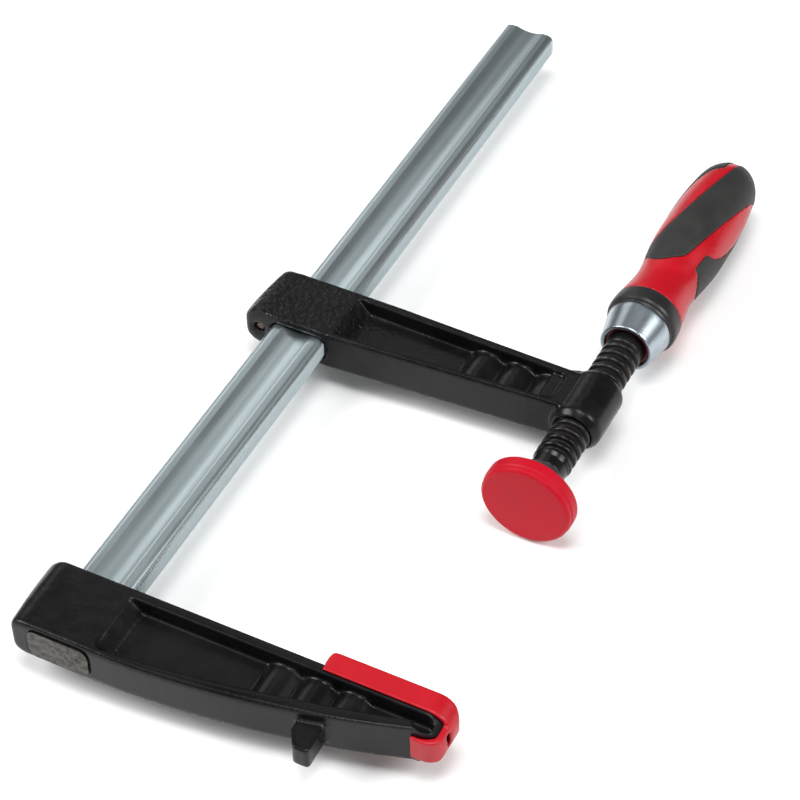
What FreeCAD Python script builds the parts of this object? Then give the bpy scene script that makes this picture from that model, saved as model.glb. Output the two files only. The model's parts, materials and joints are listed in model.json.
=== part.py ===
# F clamp for carpentry: a flat steel rail with a fixed arm riveted to one end, an arm that
# slides along it, and a screw spindle with a swivelling pressure plate and a two-part handle.
#
# Frame: millimetres. The origin is the centre of the fixed jaw cap's pressure face, where the
# spindle's axis meets it. +Y runs along the rail to its free end (and up the spindle to the
# handle), +X runs across the throat from the rail to the spindle and beyond, +Z is normal to
# the flat of the clamp, so the clamp lies on a bench with +Z up.
import FreeCAD, Part
import math
import os

V = FreeCAD.Vector

# ---- driving sizes (mm) ----------------------------------------------------------------------
throat = 100.0          # rail's inner edge to the spindle's axis
rail_w = 22.0           # rail, across the throat direction
rail_t = 10.5           # rail, through its thickness
rail_reach = 334.0      # rail's free end, measured from the fixed jaw's pressure face
rail_edge_r = 3.0       # rolled corner of the rail
groove_w = 12.2         # shallow groove down each broad face
groove_d = 1.25
end_chamfer = 0.8       # broken edges of the rail's free end
head_grow = 1.1         # how far the rail's upset end swells, each side
head_len = 2.0
head_proud = 0.4        # how far it stands out of the casting
stake_r = 2.6           # punched dome that locks it
stake_in = 3.4          # its place from the rail's inner edge

arm_t = 16.8            # thickness of both cast arms
heel_out = 10.8         # how far a heel stands out past the rail's outer edge
heel_depth = 30.0       # fixed arm's heel, along the rail
heel_taper = 3.2        # how much further in the fixed arm's heel is at the back
tip_over = 20.8         # fixed arm's tip past the spindle's axis
tip_depth = 10.9        # fixed arm's depth at the tip
tip_run = 8.5           # length of the rounded nose under the tip
back_bow = 3.8          # how far the fixed arm's back bows out
cap_t = 5.5             # fixed jaw cap over the throat face
cap_wall = 1.1          # its side walls
cap_len = 47.0          # cap from the tip back towards the rail
cap_skirt = 3.0         # how far its side walls reach down the arm
cap_end = 1.6           # its thickness over the tip
cap_flat = 0.5          # narrow flat down the cap's nose
cap_window = 2.8        # opening under the nose, along the rail's direction
band_half = 5.2         # half the width of the band that wraps the tip
band_lip = 1.6          # the band's thickness under the arm
foot_x = -20.2          # spur on the fixed arm's back
foot_w = 9.2
foot_half_t = 4.5       # half its thickness
foot_root = 13.5        # how deep it is rooted in the arm
foot_drop = 37.4        # lowest point of the spur under the pressure face

arm_y = 130.4           # sliding arm's lower face at the rail, as drawn
slide_len = 26.2        # sliding arm's hold on the rail
arm_end_len = 18.8      # its depth beside the boss
arm_fall = 1.6          # how much lower its handle-side edge is at the boss
boss_r = 10.1
boss_low = 132.9        # boss, lower and upper faces, as drawn
boss_len = 25.4
boss_chamfer = 2.6
slide_round = 1.3       # rounding along its broad sides
slot_play = 0.4         # sliding arm's slot round the rail, each side
fit = 0.05              # close fit between pieces fixed to each other
web_half = 2.3          # half the thickness of the arms' web
rib_rise = 2.9          # how far its three ribs rise above it
rib_pitch = 13.2
rib_count = 3
fixed_rib_at = 61.5     # first rib from the rail, in the fixed arm
slide_rib_at = 57.5     # and in the sliding arm
ramp_run = 5.3          # slanted end of the recess beside the rail
recess_gap = 1.8        # wall between the rail's slot and the recess
fixed_back_wall = 2.6   # wall behind the fixed arm's recess
flange = 4.0            # throat-side flange of the fixed arm
pin_r = 2.2             # grip pin beside the rail in the sliding arm
pin_len = 14.0
pin_out = 5.6           # its centre from the rail's outer edge
pin_sunk = 1.2          # how far its end lies under the casting's face
pin_round = 0.4

screw_r = 7.4           # spindle, over the thread's crests
screw_pitch = 4.0
thread_depth = 1.35
screw_low = 115.2       # thread's lower end, as drawn
screw_high = 178.4      # thread's upper end
screw_run = 0.08        # clearance of the crests in the boss
collar_low_r = 6.7      # plain end of the screw, over the neck
collar_low_len = 5.4
neck_r = 3.7
shank_r = 7.2           # plain shank in the handle's mouth
shank_in = 6.0          # how far it goes in
ball_r = 5.6
ball_y = 103.4          # centre of the ball
socket_run = 0.08       # clearance round the ball
plate_r = 16.2          # pressure plate
plate_t = 4.2
pad_r = 17.6            # cap over the pressure plate
pad_face = 93.0         # its pressure face, as drawn
pad_front = 2.0         # cap's thickness in front of the plate
hub_r = 9.4
hub_high = 108.9
ring_wire = 0.6         # snap ring that keeps the ball in
ring_up = 3.3           # its height over the ball's centre
ring_room = 0.65        # room over and under it in its groove

mouth_y = 181.4         # ferrule's open end
ferrule_len = 12.0
ferrule_mouth_r = 10.5
ferrule_top_r = 12.6
ferrule_wall = 1.0
collar_len = 8.6
collar_r = 14.0
waist_r = 11.75         # handle at its narrowest
belly_r = 14.0          # and at its widest
waist_at = 35.6         # measured from the ferrule's mouth
belly_at = 68.2
dome_at = 93.4
dome_r = 12.7
handle_len = 110.1
grip_depth = 1.5        # soft grip zones let into the handle
grip_proud = 0.2
grip_half_w = 7.5
grip_rise = 15.0        # length of its rounded lower end
grip_low = 38.6         # lower end of a grip zone from the mouth
grip_lean = 12.5        # degrees, lean of the zones
grip_turn = 20.0        # degrees, first zone from +Z towards +X
tang_r = 4.6
tang_len = 62.0
tang_flat = 0.8         # depth of its two flats
button_r = 4.4          # where the three grip zones meet on the tip

# ---- derived positions -----------------------------------------------------------------------
rail_in = -throat
rail_out = -throat - rail_w
rail_mid = -throat - rail_w / 2.0
heel_x = rail_out - heel_out
arm_top = -cap_t
arm_back = arm_top - heel_depth
half_t = arm_t / 2.0
head_y = arm_back - head_proud
pin_x = rail_out - pin_out
cap_high = mouth_y + ferrule_len + collar_len      # where the handle's own surface starts


def revolve_y(points, x=0.0, z=0.0):
    """Closed profile of (radius, y) turned about the line x, z parallel to Y."""
    pts = [V(x + r, y, z) for r, y in points]
    pts.append(pts[0])
    return Part.Face(Part.makePolygon(pts)).revolve(V(x, 0, z), V(0, 1, 0), 360)


def cyl_y(r, y0, y1, x=0.0, z=0.0):
    return Part.makeCylinder(r, y1 - y0, V(x, y0, z), V(0, 1, 0))


def spline(points, start=None, end=None):
    c = Part.BSplineCurve()
    if start is not None:
        c.interpolate(Points=[V(*p) for p in points], InitialTangent=V(*start), FinalTangent=V(*end))
    else:
        c.interpolate([V(*p) for p in points])
    return c.toShape()


def rounded_polygon(points, radii):
    """Face in the XY plane with each corner replaced by an arc of its own radius."""
    n, edges, ends = len(points), [], []
    for i in range(n):
        p, a, b = V(*points[i], 0), V(*points[i - 1], 0), V(*points[(i + 1) % n], 0)
        r = radii[i]
        u, w = (a - p).normalize(), (b - p).normalize()
        if r <= 0:
            ends.append((p, p, None))
            continue
        half = math.acos(max(-1.0, min(1.0, u.dot(w)))) / 2.0
        cut = r / math.tan(half)
        bis = (u + w).normalize()
        c = p + bis * (r / math.sin(half))
        ends.append((p + u * cut, p + w * cut, c - bis * r))
    for i in range(n):
        s, e, m = ends[i]
        if m is not None:
            edges.append(Part.Arc(s, m, e).toShape())
        nxt = ends[(i + 1) % n][0]
        if (nxt - e).Length > 1e-6:
            edges.append(Part.LineSegment(e, nxt).toShape())
    return Part.Face(Part.Wire(Part.__sortEdges__(edges)))


def slab(face, z0, z1):
    f = face.copy()
    f.translate(V(0, 0, z0))
    return f.extrude(V(0, 0, z1 - z0))


def along_y(face, y0, y1):
    """A face drawn in XY as (x, z) is stood up and swept along Y."""
    f = face.copy()
    f.rotate(V(0, 0, 0), V(1, 0, 0), 90)        # (x, y, 0) -> (x, 0, y)
    f.translate(V(0, y0, 0))
    return f.extrude(V(0, y1 - y0, 0))


def rail_section(grow=0.0, grooves=True):
    w, t = rail_w / 2.0 + grow, rail_t / 2.0 + grow
    r = rail_edge_r + grow * 0.5
    face = rounded_polygon(
        [(rail_mid - w, -t), (rail_mid + w, -t), (rail_mid + w, t), (rail_mid - w, t)], [r] * 4)
    if not grooves:
        return face
    big = (groove_w ** 2 / 4.0 + groove_d ** 2) / (2.0 * groove_d)
    for s in (1, -1):
        disc = Part.Face(Part.Wire(Part.makeCircle(big, V(rail_mid, s * (t - groove_d + big), 0))))
        face = face.cut(disc)
    return face.Faces[0]


def flare(grow):
    """Upset end of the rail that fills the fixed arm's countersink."""
    low, high = rail_section(grow + head_grow, False), rail_section(grow, False)
    wires = []
    for f, y in ((low, head_y), (high, head_y + head_len)):
        w = f.OuterWire.copy()
        w.rotate(V(0, 0, 0), V(1, 0, 0), 90)
        w.translate(V(0, y, 0))
        wires.append(w)
    return Part.makeLoft(wires, True, True)


def make_rail():
    body = along_y(rail_section(), head_y + head_len, rail_reach)
    c = end_chamfer
    trim = along_y(rail_section(0.5, False), rail_reach - c, rail_reach + 1)
    wires = []
    for g, y in ((0.0, rail_reach - c), (-c, rail_reach)):
        w = rail_section(g, False).OuterWire.copy()
        w.rotate(V(0, 0, 0), V(1, 0, 0), 90)
        w.translate(V(0, y, 0))
        wires.append(w)
    body = body.cut(trim.cut(Part.makeLoft(wires, True, True)))
    body = body.fuse(flare(0.0))
    stake = Part.makeSphere(stake_r, V(rail_in - stake_in, head_y + 0.73 * stake_r, 0))
    return body.fuse(stake).removeSplitter()


def finger_ribs(x0, y0, y1, side):
    """Rounded ribs across the web, rising from the floor of the recess."""
    out = []
    r = (rib_pitch * 0.46) ** 2 / (2.0 * rib_rise) + rib_rise / 2.0
    for i in range(rib_count):
        x = x0 + i * rib_pitch
        z = side * (web_half + rib_rise - r)
        c = Part.makeCylinder(r, y1 - y0, V(x, y0, z), V(0, 1, 0))
        box = Part.makeBox(rib_pitch, y1 - y0, rib_rise + 0.4)
        box.translate(V(x - rib_pitch / 2.0, y0, web_half - 0.4 if side > 0 else -web_half - rib_rise))
        out.append(c.common(box))
    return out


def recess(face, x_start, run, side):
    """Pocket in one broad side: outline face, floor at the web, a slanted facet at its start."""
    pocket = slab(face, web_half, half_t + 2) if side > 0 else slab(face, -half_t - 2, -web_half)
    ramp = Part.Face(Part.makePolygon([
        V(x_start - 1, -500, side * (half_t + 1.5)), V(x_start - 1, -500, side * (web_half - 1)),
        V(x_start + run + 1, -500, side * (web_half - 1)),
        V(x_start - 1, -500, side * (half_t + 1.5))]))
    return pocket.cut(ramp.extrude(V(0, 1000, 0)))


def fixed_arm_blank(grow=0.0):
    """Outer body of the fixed arm, without its recess, spur and slot, grown all round."""
    tip, top, back = tip_over + grow, arm_top + grow, arm_top - tip_depth - grow
    left, side = heel_x - grow, half_t + grow
    p_heel = V(left + heel_taper, arm_back - grow, 0)
    p_bend = V(rail_in + 10.0, arm_back + 0.2 - grow, 0)
    p_tip = V(tip - tip_run, back, 0)
    p_end = V(tip, back + tip_run * 0.72, 0)
    k = 1.0 - math.sqrt(0.5)
    p_nose = V(tip - tip_run * k, back + tip_run * 0.72 * k, 0)
    sag = V((p_bend.x + p_tip.x) / 2.0, (p_bend.y + p_tip.y) / 2.0 - back_bow, 0)
    edges = [
        Part.LineSegment(V(left, top, 0), V(tip, top, 0)).toShape(),
        Part.LineSegment(V(tip, top, 0), p_end).toShape(),
        Part.Arc(p_end, p_nose, p_tip).toShape(),
        Part.Arc(p_tip, sag, p_bend).toShape(),
        Part.LineSegment(p_bend, p_heel).toShape(),
        Part.LineSegment(p_heel, V(left, top, 0)).toShape(),
    ]
    blank = slab(Part.Face(Part.Wire(edges)), -side, side)
    plan = rounded_polygon([(left, -side), (tip, -side), (tip, side), (left, side)], [side] * 4)
    return blank.common(along_y(plan, arm_back - 1 - grow, top + 1))


def make_fixed_arm():
    tip = tip_over
    # recess on both broad sides, running to a point inside the tip
    x0 = rail_in + recess_gap
    low0, low1 = arm_back + fixed_back_wall, arm_top - tip_depth + fixed_back_wall + 1.0
    mid = V((x0 + tip - 10.0) / 2.0, (low0 + low1) / 2.0 - 2.6, 0)
    top_y = arm_top - flange
    outline = Part.Wire([
        Part.LineSegment(V(x0, top_y, 0), V(tip - 7.0, top_y, 0)).toShape(),
        Part.Arc(V(tip - 7.0, top_y, 0), V(tip - 3.6, top_y - 2.7, 0), V(tip - 10.0, low1, 0)).toShape(),
        Part.Arc(V(tip - 10.0, low1, 0), mid, V(x0, low0, 0)).toShape(),
        Part.LineSegment(V(x0, low0, 0), V(x0, top_y, 0)).toShape()])
    face = Part.Face(outline)
    arm = fixed_arm_blank()
    for side in (1, -1):
        pocket = recess(face, x0, ramp_run, side)
        for rib in finger_ribs(rail_in + fixed_rib_at, arm_back, arm_top, side):
            pocket = pocket.cut(rib)
        arm = arm.cut(pocket)

    # spur on the back
    f0, f1 = foot_x - foot_w / 2.0, foot_x + foot_w / 2.0
    root = arm_back + foot_root
    spur = rounded_polygon(
        [(f0, root), (f0, -foot_drop + 6.2), (f0 + 3.9, -foot_drop), (f1 + 0.4, -foot_drop),
         (f1 + 0.2, root - 3.0), (f1 + 6.0, root + 2.5)], [0, 1.2, 1.2, 1.4, 4.0, 0])
    arm = arm.fuse(slab(spur, -foot_half_t, foot_half_t))

    # slot for the rail, with a countersink at the back
    arm = arm.cut(along_y(rail_section(fit, False), arm_back - 5, arm_top + 1))
    return arm.cut(flare(fit)).removeSplitter()


def make_fixed_cap():
    tip = tip_over
    x0, x1 = tip - cap_len, tip + cap_end
    w = half_t + cap_wall
    low, back = arm_top - cap_skirt, arm_top - tip_depth
    side = rounded_polygon(
        [(x0, low), (x0, 0), (x1, 0), (x1, back - band_lip), (tip - tip_run - 1.0, back - band_lip),
         (tip - tip_run - 1.0, back + 0.8), (tip - 6.0, low)],
        [0.8, 2.6, 4.5, 6.4, 0.6, 0.4, 3.0])
    body = slab(side, -w, w)
    nose = w - cap_flat
    plan = rounded_polygon([(x0, -w), (x1, -w), (x1, w), (x0, w)], [2.0, nose, nose, 2.0])
    body = body.common(along_y(plan, -40, 1))
    # below the skirt only a band round the tip is left, with an opening near its top
    for s in (1, -1):
        aside = Part.makeBox(80, 60, 20)
        aside.translate(V(tip - 60, low - 60, band_half if s > 0 else -band_half - 20))
        body = body.cut(aside)
    strip = 1.8                                 # plastic left each side of the opening
    window = Part.makeBox(12, cap_window, 2 * (band_half - strip))
    window.translate(V(tip - 2.0, low - cap_window - 0.4, strip - band_half))
    cap = body.cut(window).cut(fixed_arm_blank(fit))
    cap = max(cap.Solids, key=lambda s: s.Volume)
    return cap.removeSplitter()


def make_sliding_arm():
    y0, y1 = arm_y, arm_y + slide_len
    end_x = -boss_r * 0.55
    low_end = y1 - arm_fall - arm_end_len
    pts = [(heel_x + 3.0, y1), (rail_in + 20.0, y1), (end_x, y1 - arm_fall), (end_x, low_end),
           (rail_in + 2.0, y0), (heel_x - 0.4, y0), (heel_x - 2.0, y0 + 4.0)]
    blank = slab(rounded_polygon(pts, [3.0, 60.0, 0, 0, 6.0, 2.0, 3.0]), -half_t, half_t)
    plan = rounded_polygon(
        [(heel_x - 2.1, -half_t), (end_x + 5, -half_t), (end_x + 5, half_t), (heel_x - 2.1, half_t)],
        [half_t - 0.01, 0, 0, half_t - 0.01])
    blank = blank.common(along_y(plan, y0 - 5, y1 + 5))

    def along_a_side(edge):
        b = edge.BoundBox
        on_side = abs(b.Center.z) > half_t - 0.2 and b.ZLength < 3.0
        return on_side and max(b.XLength, b.YLength) > 3.0 and b.XMax < end_x - 0.5
    blank = blank.makeFillet(slide_round, [e for e in blank.Edges if along_a_side(e)])

    x0 = rail_in + recess_gap + 0.8
    top_y = y1 - 3.4                            # handle-side wall of the recess
    slope = (low_end - y0) / (end_x - rail_in)
    def low(x):
        return y0 + 2.4 + slope * (x - rail_in)
    xe = -boss_r - 0.6
    outline = rounded_polygon([(x0, top_y), (xe, top_y - arm_fall), (xe, low(xe)), (x0, low(x0))],
                              [0.8, 2.5, 2.5, 0.8])
    arm = blank
    for side in (1, -1):
        pocket = recess(outline, x0, ramp_run, side)
        for rib in finger_ribs(rail_in + slide_rib_at, y0 - 5, y1 + 5, side):
            pocket = pocket.cut(rib)
        arm = arm.cut(pocket)

    # threaded boss with its fillets to the arm
    yb, yt = boss_low, boss_low + boss_len
    c = boss_chamfer
    boss = revolve_y([(0, yb), (boss_r - c * 0.75, yb), (boss_r - 0.25, yb + c), (boss_r, yb + c + 1.2),
                      (boss_r, yt - 2.4), (boss_r - 1.0, yt - 0.6), (boss_r - 2.4, yt), (0, yt)])
    root = -boss_r - 6.0
    gusset = rounded_polygon(
        [(root, y1 - arm_fall - 0.4), (-boss_r + 3.0, yt - 0.8), (-2, yt - 0.8), (-2, yb + 5),
         (-boss_r + 2.6, yb + 3.6), (root, low(root) - 2.2)], [1.0, 2.0, 0, 0, 2.5, 1.0])
    arm = arm.fuse(boss).fuse(slab(gusset, -half_t + 1.6, half_t - 1.6)).removeSplitter()

    # slot for the rail, pin hole, spindle bore
    arm = arm.cut(along_y(rail_section(slot_play, False), y0 - 10, y1 + 10))
    arm = arm.cut(cyl_y(pin_r, y0 - 5, y0 + pin_len, pin_x))
    arm = arm.cut(cyl_y(screw_r + screw_run, yb - 5, yt + 5))
    return arm


def make_grip_pin():
    low, high = arm_y + pin_sunk, arm_y + pin_len
    profile = [(0, low), (pin_r - pin_round, low), (pin_r, low + pin_round), (pin_r, high), (0, high)]
    return revolve_y(profile, pin_x)


def make_spindle():
    r, d = screw_r, thread_depth
    plain_low, plain_r = screw_low - collar_low_len, collar_low_r
    shank_end, tang_end = mouth_y + shank_in, mouth_y + tang_len
    core = [(0, plain_low), (plain_r - 0.6, plain_low), (plain_r, plain_low + 0.6), (plain_r, screw_low),
            (r, screw_low + 0.8), (r, screw_high - 0.8), (shank_r, screw_high), (shank_r, shank_end),
            (tang_r, shank_end), (tang_r, tang_end), (0, tang_end)]
    body = revolve_y(core)
    # trapezoidal thread, right-hand, cut as one helical groove
    turns_len = screw_high - screw_low + 2.0 * screw_pitch
    helix = Part.makeHelix(screw_pitch, turns_len, r)
    half_open, half_root = screw_pitch * 0.33, screw_pitch * 0.16
    prof = Part.makePolygon([V(r + 0.6, 0, -half_open - 0.2), V(r - d, 0, -half_root),
                             V(r - d, 0, half_root), V(r + 0.6, 0, half_open + 0.2),
                             V(r + 0.6, 0, -half_open - 0.2)])
    groove = Part.Wire(helix).makePipeShell([prof], True, True)
    groove.rotate(V(0, 0, 0), V(1, 0, 0), -90)
    keep = cyl_y(r + 2, screw_low + 0.4, screw_high - 0.6)
    for lead_in in (0.75, 1.0, 1.3, 0.6):       # the cut needs a start that meets no edge of the core
        turn = groove.copy()
        turn.translate(V(0, screw_low - lead_in * screw_pitch, 0))
        turn = turn.common(keep)
        threaded = body.cut(turn)
        if threaded.isValid() and threaded.Volume < body.Volume - 0.3 * turn.Volume:
            body = threaded
            break
    # flats on the tang stop it turning in the handle
    for s in (1, -1):
        flat = Part.makeBox(20, tang_len, 4)
        flat.translate(V(-10, shank_end, tang_r - tang_flat if s > 0 else -tang_r + tang_flat - 4))
        body = body.cut(flat)
    neck = cyl_y(neck_r, ball_y, plain_low + 0.1)
    ball = Part.makeSphere(ball_r, V(0, ball_y, 0))
    return body.fuse(neck).fuse(ball).removeSplitter()


def make_plate():
    y0 = pad_face + pad_front
    y1 = y0 + plate_t
    body = revolve_y([(0, y0), (plate_r - 0.6, y0), (plate_r, y0 + 0.6), (plate_r, y1 - 0.8),
                      (plate_r - 0.8, y1), (hub_r + 1.6, y1 + 0.3), (hub_r + 0.3, y1 + 1.4),
                      (hub_r - 0.4, hub_high - 0.7), (hub_r - 1.1, hub_high), (0, hub_high)])
    socket = Part.makeSphere(ball_r + socket_run, V(0, ball_y, 0))
    mouth = cyl_y(ball_r + socket_run, ball_y, hub_high + 1)
    ring_y = ball_y + ring_up
    groove = cyl_y(ball_r + 1.6, ring_y - ring_wire - ring_room, ring_y + ring_wire + ring_room)
    flare_out = revolve_y([(0, hub_high - 0.5), (ball_r + socket_run, hub_high - 0.5),
                           (ball_r + 0.7, hub_high + 0.1), (0, hub_high + 0.1)])
    return body.cut(socket).cut(mouth).cut(groove).cut(flare_out)


def make_ring():
    """Round-wire snap ring in the hub's groove, open for a few degrees."""
    y = ball_y + ring_up
    rad = math.sqrt((ball_r + 0.06 + ring_wire) ** 2 - (y - ball_y) ** 2) + 0.02
    ring = Part.makeTorus(rad, ring_wire, V(0, y, 0), V(0, 1, 0))
    gap = Part.makeBox(2.2, 4, 10)
    gap.translate(V(-1.1, y - 2, 0))
    return ring.cut(gap)


def make_pad_cap():
    y0 = pad_face
    yb = y0 + pad_front + plate_t + 1.4
    lip = plate_r - 1.5
    body = revolve_y([(0, y0), (pad_r - 1.7, y0), (pad_r - 0.9, y0 + 0.35), (pad_r - 0.35, y0 + 1.2),
                      (pad_r - 0.35, y0 + 2.4), (pad_r, y0 + 2.8), (pad_r, yb - 1.3), (pad_r - 0.9, yb),
                      (lip, yb), (lip, y0 + pad_front + plate_t + 0.2),
                      (plate_r - 0.75, y0 + pad_front + plate_t + 0.12),
                      (plate_r + fit, y0 + pad_front + plate_t - 0.68), (plate_r + fit, y0 + pad_front - fit),
                      (0, y0 + pad_front - fit)])
    return body


def handle_profile(inset=0.0):
    """Outer line of the handle from the collar to the tip, as splines of (radius, y)."""
    m, k = mouth_y, inset
    top = m + handle_len - k
    c0 = cap_high
    pts = [(collar_r - 0.35 - k, c0, 0), (waist_r + 0.75 - k, m + waist_at - 7.5, 0),
           (waist_r - k, m + waist_at, 0), (waist_r + 0.85 - k, m + waist_at + 10.0, 0),
           (belly_r - 0.35 - k, m + belly_at - 14, 0), (belly_r - k, m + belly_at, 0),
           (belly_r - 0.35 - k, m + belly_at + 15, 0), (dome_r - k, m + dome_at, 0)]
    side = spline(pts)
    last = side.Curve.value(side.LastParameter)
    tan = side.Curve.tangent(side.LastParameter)[0]
    dome = spline([(last.x, last.y, 0), (dome_r - 1.6 - k, m + dome_at + 8.0 - k * 0.4, 0),
                   (dome_r - 5.0 - k, top - 2.9, 0), (0, top, 0)],
                  (tan.x * 12, tan.y * 12, 0), (-16, 0, 0))
    return side, dome


def handle_solid(inset=0.0):
    """Whole handle volume above the collar, drawn in all round by inset."""
    m = mouth_y
    side, dome = handle_profile(inset)
    c0 = cap_high
    r0, top = collar_r - 0.35 - inset, m + handle_len - inset
    wire = Part.Wire([side, dome, Part.LineSegment(V(0, top, 0), V(0, c0, 0)).toShape(),
                      Part.LineSegment(V(0, c0, 0), V(r0, c0, 0)).toShape()])
    return Part.Face(wire).revolve(V(0, 0, 0), V(0, 1, 0), 360)


def grip_prisms():
    """Three leaning oval zones round the handle that run over its tip and meet there."""
    m = mouth_y
    low, high = m + grip_low, m + handle_len + 8.0
    w, w2, rise = grip_half_w, grip_half_w * 0.94, grip_rise
    k = math.sqrt(0.5)
    lean_at = m + 78.0
    left, right = V(-w, low + rise, 0), V(w, low + rise, 0)
    lower = spline([(-w, low + rise, 0), (-w * k, low + rise * (1 - k), 0), (0, low, 0),
                    (w * k, low + rise * (1 - k), 0), (w, low + rise, 0)], (0, -40, 0), (0, 40, 0))
    face = Part.Face(Part.Wire([
        lower, Part.LineSegment(right, V(w2, high, 0)).toShape(),
        Part.LineSegment(V(w2, high, 0), V(-w2, high, 0)).toShape(),
        Part.LineSegment(V(-w2, high, 0), left).toShape()]))
    face.rotate(V(0, lean_at, 0), V(0, 0, 1), -grip_lean)
    out = []
    for i in range(3):
        p = face.extrude(V(0, 0, 40))
        p.rotate(V(0, 0, 0), V(0, 1, 0), grip_turn + 120.0 * i)
        out.append(p)
    button = cyl_y(button_r, m + handle_len - 9.0, high)
    return out[0].fuse([out[1], out[2], button])


def make_handle_core():
    m = mouth_y
    c0 = cap_high
    body = handle_solid()
    top, wide = m + ferrule_len, ferrule_top_r - ferrule_wall - 0.15
    shank = revolve_y([(0, m + 1.2), (8.9, m + 1.2), (9.2, m + 1.8), (ferrule_mouth_r - 1.2, m + 3.0),
                       (wide, top), (wide, c0), (0, c0)])
    bore = [(0, m), (ferrule_mouth_r - ferrule_wall - fit - 0.2, m), (wide - fit - 0.05, top), (20, top),
            (20, c0 + 1), (0, c0 + 1)]          # inside of the ferrule, then free above it
    shank = shank.common(revolve_y(bore))
    core = body.fuse(shank)
    zones = handle_solid().cut(handle_solid(grip_depth)).common(grip_prisms())
    core = core.cut(zones)
    # socket for the spindle: open mouth, then the flatted tang
    core = core.cut(cyl_y(shank_r + fit, m - 1, m + shank_in + fit))
    tang = cyl_y(tang_r + fit, m + shank_in - 1, m + tang_len + 0.4)
    level = tang_r - tang_flat + fit
    for s in (1, -1):
        flat = Part.makeBox(20, tang_len + 20, 4)
        flat.translate(V(-10, m, level if s > 0 else -level - 4))
        tang = tang.cut(flat)
    core = core.cut(tang)
    return max(core.Solids, key=lambda s: s.Volume)


def make_handle_grip():
    shell = handle_solid(-grip_proud).cut(handle_solid(grip_depth))
    grip = shell.common(grip_prisms())
    return max(grip.Solids, key=lambda s: s.Volume)


def make_collar():
    m = mouth_y
    y0, y1 = m + ferrule_len + 0.05, m + ferrule_len + collar_len - 0.05
    inner = ferrule_top_r - ferrule_wall - 0.15
    return revolve_y([(inner + fit, y0), (ferrule_top_r, y0), (ferrule_top_r + 0.9, y0 + 0.5),
                      (collar_r - 0.15, y0 + 2.0), (collar_r, y0 + 3.4), (collar_r - 0.15, y1 - 0.5),
                      (collar_r - 0.5, y1), (inner + fit, y1)])


def make_ferrule():
    m = mouth_y
    t = ferrule_wall
    top = m + ferrule_len
    rim, wide = ferrule_mouth_r, ferrule_top_r
    return revolve_y([(rim - 1.9, m + 0.9), (rim - 1.7, m + 0.25), (rim - 1.0, m), (rim - 0.3, m + 0.25),
                      (rim, m + 1.0), (wide - 0.35, top - 2.2), (wide, top - 1.0), (wide, top),
                      (wide - t, top), (rim - t, m + 1.6), (rim - 1.4, m + 1.2)])


NODES = {
    "rail": make_rail,
    "fixed_arm": make_fixed_arm,
    "fixed_jaw_cap": make_fixed_cap,
    "sliding_arm": make_sliding_arm,
    "grip_pin": make_grip_pin,
    "spindle": make_spindle,
    "pressure_plate": make_plate,
    "ball_retainer": make_ring,
    "pressure_plate_cap": make_pad_cap,
    "handle_core": make_handle_core,
    "handle_grip": make_handle_grip,
    "handle_collar": make_collar,
    "ferrule": make_ferrule,
}

os.makedirs("parts", exist_ok=True)
for name, make in NODES.items():
    shape = make()
    if shape.ShapeType != "Solid" and len(shape.Solids) == 1:
        shape = shape.Solids[0]
    b = shape.BoundBox
    print("%-20s solids %d faces %3d valid %s vol %9.1f  x %.1f..%.1f y %.1f..%.1f z %.1f..%.1f" % (
        name, len(shape.Solids), len(shape.Faces), shape.isValid(), shape.Volume,
        b.XMin, b.XMax, b.YMin, b.YMax, b.ZMin, b.ZMax))
    shape.exportStep("parts/%s.step" % name)
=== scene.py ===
# %% [markdown]
# # An F clamp, dressed piece by piece
# This lesson takes the measured model of an F clamp and gives every piece the surface that it has
# on the bench: rolled zinc steel, painted cast iron, moulded plastic and soft rubber. The measured
# model is called the frame. It fixes where each piece is and how it moves, and nothing here changes
# its size.

# %% Load the frame
import bpy
import bmesh
import json
import math
import numpy as np
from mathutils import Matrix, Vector


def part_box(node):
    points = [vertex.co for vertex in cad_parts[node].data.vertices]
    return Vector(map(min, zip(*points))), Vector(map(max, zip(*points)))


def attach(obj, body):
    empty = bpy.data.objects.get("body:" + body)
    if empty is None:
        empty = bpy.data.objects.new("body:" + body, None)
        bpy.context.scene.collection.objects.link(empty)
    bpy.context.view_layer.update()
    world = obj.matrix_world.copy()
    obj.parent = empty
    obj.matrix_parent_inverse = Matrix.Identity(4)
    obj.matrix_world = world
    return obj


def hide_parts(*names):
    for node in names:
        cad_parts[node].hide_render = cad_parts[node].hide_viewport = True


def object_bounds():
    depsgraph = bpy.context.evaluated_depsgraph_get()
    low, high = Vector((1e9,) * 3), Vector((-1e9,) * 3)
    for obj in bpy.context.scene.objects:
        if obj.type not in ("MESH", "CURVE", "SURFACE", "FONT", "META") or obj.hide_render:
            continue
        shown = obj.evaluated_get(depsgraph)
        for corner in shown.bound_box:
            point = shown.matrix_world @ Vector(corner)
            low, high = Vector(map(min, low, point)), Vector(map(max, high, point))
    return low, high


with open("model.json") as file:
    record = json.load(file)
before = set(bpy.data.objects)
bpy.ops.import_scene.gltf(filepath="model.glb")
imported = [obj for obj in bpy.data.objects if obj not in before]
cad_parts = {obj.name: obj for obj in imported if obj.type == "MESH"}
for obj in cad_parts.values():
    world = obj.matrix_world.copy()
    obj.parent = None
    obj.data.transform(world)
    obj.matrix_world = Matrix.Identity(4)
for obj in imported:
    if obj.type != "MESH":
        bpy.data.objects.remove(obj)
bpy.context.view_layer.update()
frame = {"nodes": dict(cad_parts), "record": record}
nodes = frame["nodes"]
body_of_node = {n: b for b, held in frame["record"]["behaviour"]["bodies"].items() for n in held}

# %% [markdown]
# ## Camera
# The clamp lies flat, and we look down on it from the fixed jaw's side. A long lens keeps the rail's
# edges almost parallel. The camera stands at one place and looks along one direction, and a small
# shift puts the object in the middle of a square picture.

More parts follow.
